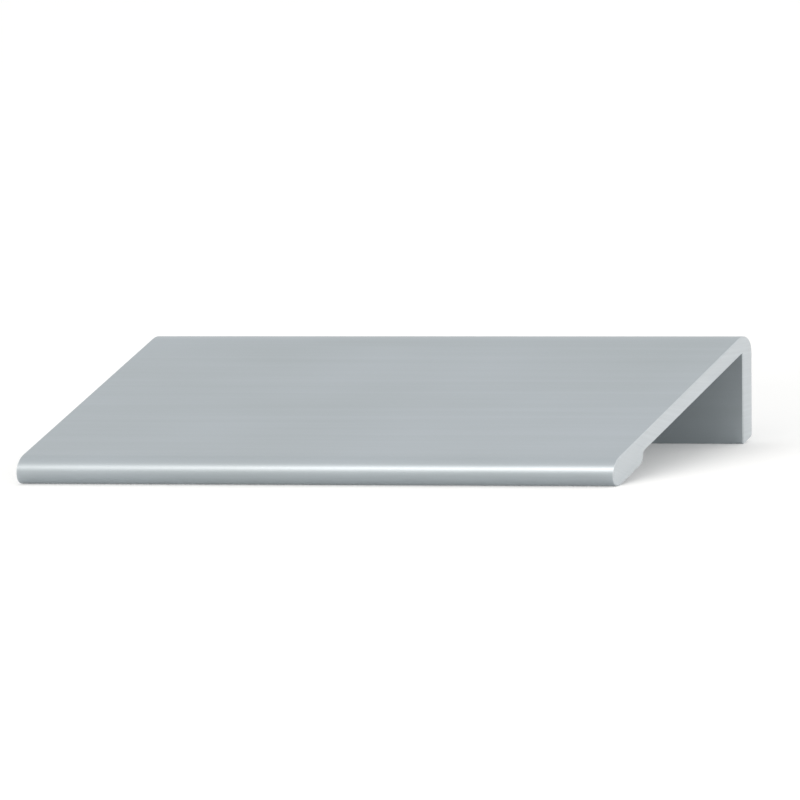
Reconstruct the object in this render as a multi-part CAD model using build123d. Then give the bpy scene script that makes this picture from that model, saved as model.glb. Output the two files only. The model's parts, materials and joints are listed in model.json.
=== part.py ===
from build123d import *
import os
from math import asin, atan2, degrees, hypot, radians, tan

# Cabinet edge pull: one length of extruded aluminium, sawn to length and drilled.
# A flange is screwed to the back of a door or drawer front, a plate lies over the
# top edge of the panel, and the bead along the front of the plate is what fingers hold.
# All sizes are in millimetres.

# Section of the extrusion
length = 100.0            # sawn length
depth = 45.5              # from the back of the flange to the front of the bead
flange_height = 18.7      # from the top of the plate to the foot of the flange
plate_wall = 3.0
flange_wall = 3.0
bead_height = 4.8         # from the top of the plate to the underside of the bead
bead_depth = 9.6          # from the back of the bead to the front of the pull
nose_top_radius = 2.1     # upper rounding of the bead's front
nose_foot_radius = 2.5    # lower rounding of the bead's front
outer_corner_radius = 4.3
inner_corner_radius = 0.4
bead_step_radius = 0.4    # where the bead's back meets the underside of the plate
bead_heel_radius = 1.25   # lower back edge of the bead
foot_radius = 0.5         # both edges of the flange's foot

# Screw holes through the flange, countersunk from behind
hole_spacing = 64.0
hole_above_foot = 8.0
screw_hole_diameter = 4.5
countersink_diameter = 8.0
countersink_angle = 90.0

edge_break = 0.15         # deburred edge of the sawn ends

# The section is drawn upright: x runs forward from the back of the flange, and y is
# the height above the foot of the flange.
section_plane = Plane(origin=(0, 0, 0), x_dir=(0, -1, 0), z_dir=(-1, 0, 0))

plate_top = flange_height
plate_underside = flange_height - plate_wall
bead_underside = flange_height - bead_height
bead_back = depth - bead_depth
bead_drop = bead_height - plate_wall

# Two roundings share each short wall, so each is kept to its own part of that wall
nose_top = min(nose_top_radius, 0.45 * bead_height)
nose_foot = min(nose_foot_radius, 0.53 * bead_height)
bead_heel = min(bead_heel_radius, 0.7 * bead_drop)
bead_step = min(bead_step_radius, 0.25 * bead_drop)


def nearest_vertex(sketch, x, y):
    """The corner of the drawn section that lies nearest to x forward and y up."""
    point = section_plane.from_local_coords(Vector(x, y))
    return sketch.vertices().sort_by_distance(point)[0]


def section():
    """The closed outline of the extrusion, with each corner at its own radius."""
    corners = [
        ((0, 0), foot_radius),
        ((flange_wall, 0), foot_radius),
        ((flange_wall, plate_underside), inner_corner_radius),
        ((bead_back, plate_underside), bead_step),
        ((bead_back, bead_underside), bead_heel),
        ((depth, bead_underside), nose_foot),
        ((depth, plate_top), nose_top),
        ((0, plate_top), outer_corner_radius),
    ]
    with BuildSketch(section_plane) as profile:
        with BuildLine():
            Polyline(*[point for point, radius in corners], close=True)
        make_face()
    outline = profile.sketch
    for (x, y), radius in corners:
        outline = fillet(nearest_vertex(outline, x, y), radius)
    return outline


def sawn_bar():
    """The section at its full length, with both sawn ends deburred."""
    bar = extrude(section(), amount=length / 2, both=True)
    ends = bar.faces().sort_by(Axis.X)
    return chamfer(ends[0].edges() + ends[-1].edges(), edge_break)


def screw_hole(x):
    """The tool for one countersunk hole, driven into the back of the flange at x."""
    # The axis enters the back of the flange and runs forward, so the head sits behind
    drive = Plane(origin=(x, 0, hole_above_foot), x_dir=(1, 0, 0), z_dir=(0, -1, 0))
    shank = Cylinder(screw_hole_diameter / 2, 3 * flange_wall)
    sink_depth = (countersink_diameter - screw_hole_diameter) / 2 / tan(radians(countersink_angle / 2))
    # The cone goes on past the back face, so that the cut leaves no skin there
    past = flange_wall / 2
    growth = past * tan(radians(countersink_angle / 2))
    cone = Cone(
        countersink_diameter / 2 + growth,
        screw_hole_diameter / 2,
        sink_depth + past,
        align=(Align.CENTER, Align.CENTER, Align.MIN),
    )
    return drive * (shank + Pos(0, 0, -past) * cone)


def lean_angle():
    """The angle at which the pull stands by itself, on its foot and on its bead."""
    # A straight edge laid under the foot's front rounding and the bead's lower rounding
    forward = (depth - nose_foot) - (flange_wall - foot_radius)
    rise = (bead_underside + nose_foot) - foot_radius
    centres_apart = hypot(forward, rise)
    return degrees(atan2(rise, forward) - asin((nose_foot - foot_radius) / centres_apart))


def standing(upright):
    """The pull leant forward as it stands unheld, centred over the floor's origin."""
    leant = Rot(lean_angle(), 0, 0) * upright
    box = leant.bounding_box()
    return Pos(-box.center().X, -box.center().Y, -box.min.Z) * leant


pull = sawn_bar()
for side in (-1, 1):
    pull -= screw_hole(side * hole_spacing / 2)
edge_pull = standing(pull)

os.makedirs("parts", exist_ok=True)
export_step(edge_pull, "parts/edge_pull.step")
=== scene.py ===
import json
from math import pi

import bmesh
import bpy
from mathutils import Matrix, Vector


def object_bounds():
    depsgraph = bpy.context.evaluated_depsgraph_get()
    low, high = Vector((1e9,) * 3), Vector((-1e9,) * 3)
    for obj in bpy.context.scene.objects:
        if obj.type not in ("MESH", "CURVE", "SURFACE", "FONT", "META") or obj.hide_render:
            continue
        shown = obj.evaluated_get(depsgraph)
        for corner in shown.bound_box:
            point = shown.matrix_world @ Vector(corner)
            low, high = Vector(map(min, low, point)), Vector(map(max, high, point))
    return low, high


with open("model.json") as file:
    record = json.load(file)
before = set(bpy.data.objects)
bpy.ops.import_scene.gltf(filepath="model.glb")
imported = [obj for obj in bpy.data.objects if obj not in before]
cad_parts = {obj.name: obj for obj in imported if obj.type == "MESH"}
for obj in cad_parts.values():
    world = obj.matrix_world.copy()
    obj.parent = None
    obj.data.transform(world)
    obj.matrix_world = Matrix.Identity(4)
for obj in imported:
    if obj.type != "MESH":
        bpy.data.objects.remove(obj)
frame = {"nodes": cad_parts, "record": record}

# Cabinet edge pull: one sawn length of extruded aluminium, satin etched and clear anodised.
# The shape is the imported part's own. This script gives it its finish, and adds the floor,
# the lamps and the camera.

cad_low, cad_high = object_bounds()
pull = frame["nodes"]["edge_pull"]
mounts = {mount["name"]: mount for mount in frame["record"]["mounts"]}

MM = 0.001

# The extrusion's own directions, as the pull stands leaning on the floor
along = Vector((1, 0, 0))
forward = Vector(mounts["flange_face"]["axis"])
upward = -Vector(mounts["plate_underside"]["axis"])
plate_underside = Vector(mounts["plate_underside"]["pos_m"])
half_length = (cad_high.x - cad_low.x) / 2

# The screw holes, whose mount lies on their axes, halfway along their straight part
hole_middle = Vector(mounts["screw_holes"]["pos_m"])
hole_spacing = mounts["screw_holes"]["dims"]["pcd_mm"] * MM
hole_radius = mounts["screw_holes"]["dims"]["hole_r_mm"] * MM
countersink_radius = 4.0 * MM
countersink_depth = countersink_radius - hole_radius    # the cone opens at 45 degrees a side
flange_wall = 3.0 * MM
flange_back = forward.dot(hole_middle) - (countersink_depth + flange_wall) / 2


def to_linear(hex_colour):
    """An sRGB hex colour as the linear colour with alpha that a shader takes."""
    levels = [int(hex_colour[i:i + 2], 16) / 255 for i in (1, 3, 5)]
    linear = [v / 12.92 if v <= 0.04045 else ((v + 0.055) / 1.055) ** 2.4 for v in levels]
    return (*linear, 1.0)


def add_node(tree, kind, inputs=None, **settings):
    """Adds one node with its settings. An input is a value, or an output to link to it."""
    node = tree.nodes.new(kind)
    for name, value in settings.items():
        setattr(node, name, value)
    for socket, value in (inputs or {}).items():
        if isinstance(value, bpy.types.NodeSocket):
            tree.links.new(value, node.inputs[socket])
        else:
            node.inputs[socket].default_value = value
    return node


def new_material(name):
    """A new material with an empty node tree, and that tree."""
    material = bpy.data.materials.new(name)
    material.use_nodes = True
    material.node_tree.nodes.clear()
    return material, material.node_tree


# Satin anodised aluminium

# Real sizes of the finish
die_band_width = 1.6 * MM       # the widest of the die's bands, with finer and finer ones within it
grain_size = 0.2 * MM           # the etched grain, coarser than its real 0.05 mm so that it shows
cloud_size = 16 * MM            # slow changes of tone
saw_mark_pitch = 0.45 * MM      # the arcs that the saw leaves across an end
blade_radius = 125 * MM
blade_axis_up = 0.94            # from the bar to the blade's axis, as shares of its radius
blade_axis_back = 0.34
ring_pitch = 0.3 * MM           # the rings that the countersink leaves
edge_break = 0.15 * MM          # the deburred edge round each sawn end, which is cut metal too
mask_margin = 0.05 * MM         # how far a cut surface's finish reaches past it
mark_depth = 0.009 * MM         # of the bands, saw marks and rings
grain_depth = 0.003 * MM

# Each surface's shades, from its darkest tone to its palest
drawn_shades = ("#AEB5B8", "#B6BDC2")
# The cut shades are paler partly for the fresher cut metal and partly as painted light, standing in
# for the extra light on the sawn ends
cut_shades_partly_painted_light = ("#C6CBCE", "#D3D8DB")
tone_range = (0.32, 0.68)       # nearly all of the tone lies between these
cloud_share = 0.6               # how much of the tone the clouds take over from the tool's marks
grain_share = 0.2               # how much of it the grain then takes over from both

# Roughness, on the drawn skin from the troughs of its bands to their crests
trough_roughness = 0.47
crest_roughness = 0.41
cut_roughness = 0.49
marks_range = (0.3, 0.7)        # nearly all of the marks lie between these


def die_bands(tree, place):
    """The die's bands: noise drawn out a hundredfold along the bar."""
    drawn = add_node(tree, "ShaderNodeMapping", {"Vector": place, "Scale": (0.01, 1, 1)})
    return add_node(
        tree, "ShaderNodeTexNoise",
        {
            "Vector": drawn.outputs["Vector"],
            "Scale": 1 / die_band_width,
            "Detail": 5.0,
            "Roughness": 0.7,
        },
    ).outputs["Fac"]


def etched_grain(tree, place):
    """The etch's fine grain, the same in every direction."""
    return add_node(
        tree, "ShaderNodeTexNoise",
        {"Vector": place, "Scale": 1 / grain_size, "Detail": 2.0, "Roughness": 0.55},
    ).outputs["Fac"]


def bath_clouds(tree, place):
    """Slow clouds of tone from the anodising bath, twice as long as wide."""
    stretched = add_node(tree, "ShaderNodeMapping", {"Vector": place, "Scale": (0.5, 1, 1)})
    return add_node(
        tree, "ShaderNodeTexNoise",
        {"Vector": stretched.outputs["Vector"], "Scale": 1 / cloud_size, "Detail": 1.5},
    ).outputs["Fac"]


def sawn_end(tree, place, from_middle):
    """Where the surface is a sawn end or its deburred edge, and the marks of the saw there."""
    on_end = add_node(
        tree, "ShaderNodeMath", {0: from_middle, 1: half_length - edge_break - mask_margin},
        operation="GREATER_THAN",
    ).outputs[0]
    # The blade's axis lay above and behind the bar, so each tooth has left an arc round it
    blade_axis = hole_middle + blade_radius * (blade_axis_up * upward - blade_axis_back * forward)
    across_bar = add_node(
        tree, "ShaderNodeVectorMath", {0: place, 1: (0, 1, 1)}, operation="MULTIPLY",
    ).outputs["Vector"]
    from_blade = add_node(
        tree, "ShaderNodeVectorMath", {0: across_bar, 1: (0, blade_axis.y, blade_axis.z)},
        operation="DISTANCE",
    ).outputs["Value"]
    saw_marks = add_node(
        tree, "ShaderNodeTexNoise",
        {"W": from_blade, "Scale": 1 / saw_mark_pitch, "Detail": 3.0, "Roughness": 0.6},
        noise_dimensions="1D",
    ).outputs["Fac"]
    return on_end, saw_marks


def distance_past(tree, place, start, direction):
    """How far each point of the surface lies past a start, along a direction."""
    distance = add_node(
        tree, "ShaderNodeVectorMath", {0: place, 1: direction}, operation="DOT_PRODUCT",
    ).outputs["Value"]
    return add_node(
        tree, "ShaderNodeMath", {0: distance, 1: start}, operation="SUBTRACT",
    ).outputs[0]


def drilled_hole(tree, place, from_middle):
    """Where the surface is in a screw hole or its countersink, and the cutter's rings there."""
    depth = distance_past(tree, place, flange_back, forward)
    height = distance_past(tree, place, upward.dot(hole_middle), upward)
    sideways = add_node(
        tree, "ShaderNodeMath", {0: from_middle, 1: hole_spacing / 2}, operation="SUBTRACT",
    ).outputs[0]
    off_axis = add_node(
        tree, "ShaderNodeCombineXYZ", {"X": sideways, "Y": height},
    ).outputs["Vector"]
    from_axis = add_node(
        tree, "ShaderNodeVectorMath", {0: off_axis}, operation="LENGTH",
    ).outputs["Value"]
    # The cone narrows by as much as it goes in, down to the straight part
    cone = add_node(
        tree, "ShaderNodeMath", {0: countersink_radius + mask_margin, 1: depth},
        operation="SUBTRACT",
    ).outputs[0]
    reach = add_node(
        tree, "ShaderNodeMath", {0: cone, 1: hole_radius + mask_margin},
        operation="MAXIMUM",
    ).outputs[0]
    in_hole = add_node(
        tree, "ShaderNodeMath", {0: from_axis, 1: reach}, operation="LESS_THAN",
    ).outputs[0]
    rings = add_node(
        tree, "ShaderNodeTexNoise",
        {"W": depth, "Scale": 1 / ring_pitch, "Detail": 2.0, "Roughness": 0.5},
        noise_dimensions="1D",
    ).outputs["Fac"]
    return in_hole, rings


def shaded(tree, tone, shades):
    """The colour between a surface's two shades that the tone picks."""
    ramp = add_node(tree, "ShaderNodeValToRGB", {"Fac": tone})
    for element, level, shade in zip(ramp.color_ramp.elements, tone_range, shades):
        element.position = level
        element.color = to_linear(shade)
    return ramp.outputs["Color"]


def satin_anodised_aluminium():
    """Extruded, sawn and drilled, then etched matt and clear anodised all over.

    The etch gives the eye a soft grey with no sharp reflection. On the drawn faces it shows a
    fine even grain and the die's faint straight bands, which run the whole length. The sawn
    ends and the countersinks keep the marks of their tools under the same finish, a shade
    paler. That paleness is partly the fresher cut metal and partly painted light: it also
    stands in for the extra light that falls on the sawn ends.
    """
    material, tree = new_material("satin_anodised_aluminium")
    place = add_node(tree, "ShaderNodeTexCoord").outputs["Object"]
    axes = add_node(tree, "ShaderNodeSeparateXYZ", {"Vector": place}).outputs
    from_middle = add_node(
        tree, "ShaderNodeMath", {0: axes["X"]}, operation="ABSOLUTE",
    ).outputs[0]
    grain = etched_grain(tree, place)
    on_end, saw_marks = sawn_end(tree, place, from_middle)
    in_hole, rings = drilled_hole(tree, place, from_middle)
    is_cut = add_node(
        tree, "ShaderNodeMath", {0: on_end, 1: in_hole}, operation="MAXIMUM",
    ).outputs[0]

    # Each surface has the marks of the tool that made it
    marks = die_bands(tree, place)
    for where, tool_marks in ((on_end, saw_marks), (in_hole, rings)):
        marks = add_node(
            tree, "ShaderNodeMix", {"Factor": where, "A": marks, "B": tool_marks},
            data_type="FLOAT",
        ).outputs["Result"]

    # Marks, clouds and grain shift the satin grey a shade either way
    tone = marks
    for share, pattern in ((cloud_share, bath_clouds(tree, place)), (grain_share, grain)):
        tone = add_node(
            tree, "ShaderNodeMix", {"Factor": share, "A": tone, "B": pattern},
            data_type="FLOAT",
        ).outputs["Result"]
    drawn_colour = shaded(tree, tone, drawn_shades)
    # The cut colour is partly painted light: its paleness also stands in for the light that falls
    # on the sawn ends
    cut_colour_partly_painted_light = shaded(tree, tone, cut_shades_partly_painted_light)
    colour = add_node(
        tree, "ShaderNodeMix", {"Factor": is_cut, "A": drawn_colour, "B": cut_colour_partly_painted_light},
        data_type="RGBA",
    ).outputs["Result"]

    # The satin etch is rougher in the troughs of the bands and on the cut surfaces
    satin = add_node(
        tree, "ShaderNodeMapRange",
        {
            "Value": marks,
            "From Min": marks_range[0],
            "From Max": marks_range[1],
            "To Min": trough_roughness,
            "To Max": crest_roughness,
        },
    ).outputs["Result"]
    roughness = add_node(
        tree, "ShaderNodeMix", {"Factor": is_cut, "A": satin, "B": cut_roughness},
        data_type="FLOAT",
    ).outputs["Result"]

    grain_bump = add_node(
        tree, "ShaderNodeBump", {"Height": grain, "Strength": 1.0, "Distance": grain_depth},
    ).outputs["Normal"]
    bump = add_node(
        tree, "ShaderNodeBump",
        {"Height": marks, "Strength": 1.0, "Distance": mark_depth, "Normal": grain_bump},
    ).outputs["Normal"]
    shader = add_node(
        tree, "ShaderNodeBsdfPrincipled",
        {"Base Color": colour, "Metallic": 1.0, "Roughness": roughness, "Normal": bump},
    )
    add_node(tree, "ShaderNodeOutputMaterial", {"Surface": shader.outputs["BSDF"]})
    return material


# Floor and surroundings

floor_size = 9.0                # metres
floor_colour = "#F6F6F5"
floor_glow = 0.14               # the part of the floor's white that no lamp has to give
sky_for_lighting = 0.93
roller_size = 0.8 * MM          # the paint roller's texture
roller_depth = 0.01 * MM
white = (1.0, 1.0, 1.0)
warm_white = (1.0, 0.95, 0.90)


def shown_directly(tree):
    """One where the camera, a reflection or something seen through asks, else zero."""
    rays = add_node(tree, "ShaderNodeLightPath").outputs
    shown = rays["Is Camera Ray"]
    for kind in ("Is Glossy Ray", "Is Transmission Ray"):
        shown = add_node(
            tree, "ShaderNodeMath", {0: shown, 1: rays[kind]}, operation="MAXIMUM",
        ).outputs[0]
    return shown


def matt_painted_board():
    """Matt painted board, with no gloss, so the pull's shadow lies on it and no reflection."""
    material, tree = new_material("matt_painted_board")
    place = add_node(tree, "ShaderNodeTexCoord").outputs["Object"]
    roller = add_node(
        tree, "ShaderNodeTexNoise", {"Vector": place, "Scale": 1 / roller_size, "Detail": 2.0},
    ).outputs["Fac"]
    bump = add_node(
        tree, "ShaderNodeBump", {"Height": roller, "Strength": 0.2, "Distance": roller_depth},
    ).outputs["Normal"]
    paint = add_node(
        tree, "ShaderNodeBsdfDiffuse",
        {"Color": to_linear(floor_colour), "Roughness": 0.5, "Normal": bump},
    ).outputs["BSDF"]
    strength = add_node(
        tree, "ShaderNodeMath", {0: shown_directly(tree), 1: floor_glow}, operation="MULTIPLY",
    ).outputs[0]
    glow = add_node(tree, "ShaderNodeEmission", {"Strength": strength}).outputs["Emission"]
    both = add_node(tree, "ShaderNodeAddShader", {0: paint, 1: glow}).outputs["Shader"]
    add_node(tree, "ShaderNodeOutputMaterial", {"Surface": both})
    return material


def make_floor():
    mesh = bpy.data.meshes.new("floor")
    grid = bmesh.new()
    bmesh.ops.create_grid(grid, x_segments=1, y_segments=1, size=floor_size / 2)
    grid.to_mesh(mesh)
    grid.free()
    mesh.materials.append(matt_painted_board())
    floor = bpy.data.objects.new("floor", mesh)
    bpy.context.scene.collection.objects.link(floor)


def make_surroundings():
    """White all round where it is seen or reflected, and a plain soft light elsewhere."""
    world = bpy.data.worlds.new("white_studio")
    world.use_nodes = True
    tree = world.node_tree
    tree.nodes.clear()
    strength = add_node(
        tree, "ShaderNodeMapRange",
        {"Value": shown_directly(tree), "To Min": sky_for_lighting, "To Max": 1.0},
    ).outputs["Result"]
    sky = add_node(
        tree, "ShaderNodeBackground", {"Color": (*white, 1.0), "Strength": strength},
    ).outputs["Background"]
    add_node(tree, "ShaderNodeOutputWorld", {"Surface": sky})
    bpy.context.scene.world = world


def make_softbox(name, centre, width, height, radiance, colour):
    """A soft rectangular lamp at the given centre in metres, which faces the pull."""
    lamp = bpy.data.lights.new(name, "AREA")
    lamp.shape = "RECTANGLE"
    lamp.size = width
    lamp.size_y = height
    lamp.color = colour
    # A flat lamp's radiance is its watts over its area and over pi
    lamp.energy = radiance * pi * width * height
    softbox = bpy.data.objects.new(name, lamp)
    softbox.location = centre
    softbox.rotation_mode = "QUATERNION"
    softbox.rotation_quaternion = Vector(centre).to_track_quat("Z", "Y")
    bpy.context.scene.collection.objects.link(softbox)


# Camera

# The photograph is a slanted view: the pull's length lies level in it and the flange's edge
# upright, though the eye is to the right of the pull and above it. A plain camera, whose axes
# are square to each other, can't show both so. The rows below are the picture's own axes, as
# parts along the pull, forward of it and up from its plate.
picture_level = (0.9676, -0.2260, -0.1126)
picture_upright = (-0.1885, -0.3863, 0.9029)
line_of_sight = (0.5439, 1.0, 0.5084)       # from the aim to the eye, for each unit forward
eye_forward = 1334.1 * MM       # from the aim to the eye, measured forward
picture_width = 124.09 * MM     # what the picture spans at the aim, along its level axis
aim_from_underside = (0.985, 8.0, 0.517)    # from the plate_underside mount, in millimetres
sensor_width = 36.0


def in_pull(parts):
    """The vector that has these parts along the pull, forward of it and up from its plate."""
    return parts[0] * along + parts[1] * forward + parts[2] * upward


def make_camera():
    aim = plate_underside + MM * in_pull(aim_from_underside)
    sight = in_pull(line_of_sight)
    eye = aim + eye_forward * sight
    data = bpy.data.cameras.new("photo_camera")
    data.sensor_width = sensor_width
    data.lens = sensor_width * (eye - aim).length / picture_width
    data.clip_start = 0.1
    data.clip_end = 50
    camera = bpy.data.objects.new("photo_camera", data)
    bpy.context.scene.collection.objects.link(camera)
    # A location and a rotation can't hold the slant, so a stand that carries the camera does
    stand = bpy.data.objects.new("camera_stand", None)
    bpy.context.scene.collection.objects.link(stand)
    camera.parent = stand
    axes = [in_pull(picture_level), in_pull(picture_upright), sight]
    slanted = Matrix([axis.normalized() for axis in axes]).transposed().to_4x4()
    slanted.translation = eye
    camera.matrix_parent_inverse = slanted
    bpy.context.scene.camera = camera


pull.data.materials.clear()
pull.data.materials.append(satin_anodised_aluminium())
make_floor()
make_surroundings()
# The low box in front on the left draws the bright line along the bead
make_softbox(
    "front_box", centre=(-0.08, -0.47, 0.07), width=0.26, height=0.14,
    radiance=6.0, colour=warm_white,
)
# The low box at the back on the right lights the sawn end
make_softbox(
    "end_box", centre=(0.27, 0.56, 0.13), width=0.40, height=0.24,
    radiance=0.35, colour=white,
)
make_camera()
bpy.context.scene.view_settings.view_transform = "Standard"
